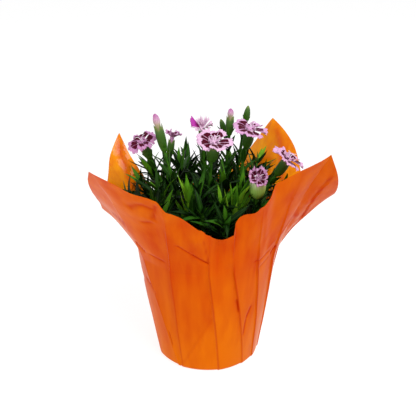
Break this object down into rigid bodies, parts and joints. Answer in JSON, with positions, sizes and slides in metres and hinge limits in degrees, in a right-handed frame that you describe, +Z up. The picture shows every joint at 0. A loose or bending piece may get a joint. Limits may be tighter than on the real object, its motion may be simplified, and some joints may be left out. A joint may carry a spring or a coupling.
{
  "type": "potted dianthus",
  "caption": "Flowering dianthus with narrow crossed leaves, fringed blooms and buds, growing in a nursery pot dressed in a pleated orange paper cover.",
  "frame": {"origin": "centre of the pot cover's flat underside, on the surface it stands on", "axes": "+Z up along the pot's axis, -Y towards the front, where the cover's edge dips lowest, +X to the right seen from the front"},
  "size_m": [0.2076, 0.1883, 0.2363],
  "materials": {
    "cover_paper": "satin coated paper, orange outside and amber inside",
    "pot_plastic": "matte",
    "potting_soil": "loose peat",
    "foliage": "waxy leaf",
    "flower_stem_green": "waxy stem",
    "petals": "velvety petal, pale rim round a maroon eye"
  },
  "bodies": {
    "root": {"bloom_left": "petals", "bloom_left_back": "petals", "bloom_middle": "petals", "bloom_right": "petals", "bloom_right_back": "petals", "bloom_right_front": "petals", "bloom_top": "petals", "bud_petals_back": "petals", "bud_petals_left": "petals", "bud_stem_back": "flower_stem_green", "bud_stem_high": "flower_stem_green", "bud_stem_left": "flower_stem_green", "bud_stem_small": "flower_stem_green", "flower_stem_left": "flower_stem_green", "flower_stem_left_back": "flower_stem_green", "flower_stem_middle": "flower_stem_green", "flower_stem_right": "flower_stem_green", "flower_stem_right_back": "flower_stem_green", "flower_stem_right_front": "flower_stem_green", "flower_stem_top": "flower_stem_green", "leafy_shoot_01": "foliage", "leafy_shoot_02": "foliage", "leafy_shoot_03": "foliage", "leafy_shoot_04": "foliage", "leafy_shoot_05": "foliage", "leafy_shoot_06": "foliage", "leafy_shoot_07": "foliage", "leafy_shoot_08": "foliage", "leafy_shoot_09": "foliage", "leafy_shoot_10": "foliage", "leafy_shoot_11": "foliage", "leafy_shoot_12": "foliage", "leafy_shoot_13": "foliage", "leafy_shoot_14": "foliage", "leafy_shoot_15": "foliage", "leafy_shoot_16": "foliage", "leafy_shoot_17": "foliage", "leafy_shoot_18": "foliage", "leafy_shoot_19": "foliage", "leafy_shoot_20": "foliage", "leafy_shoot_21": "foliage", "leafy_shoot_22": "foliage", "leafy_shoot_23": "foliage", "leafy_shoot_24": "foliage", "leafy_shoot_25": "foliage", "leafy_shoot_26": "foliage", "nursery_pot": "pot_plastic", "pot_cover": "cover_paper", "soil": "potting_soil"}
  },
  "joints": []
}
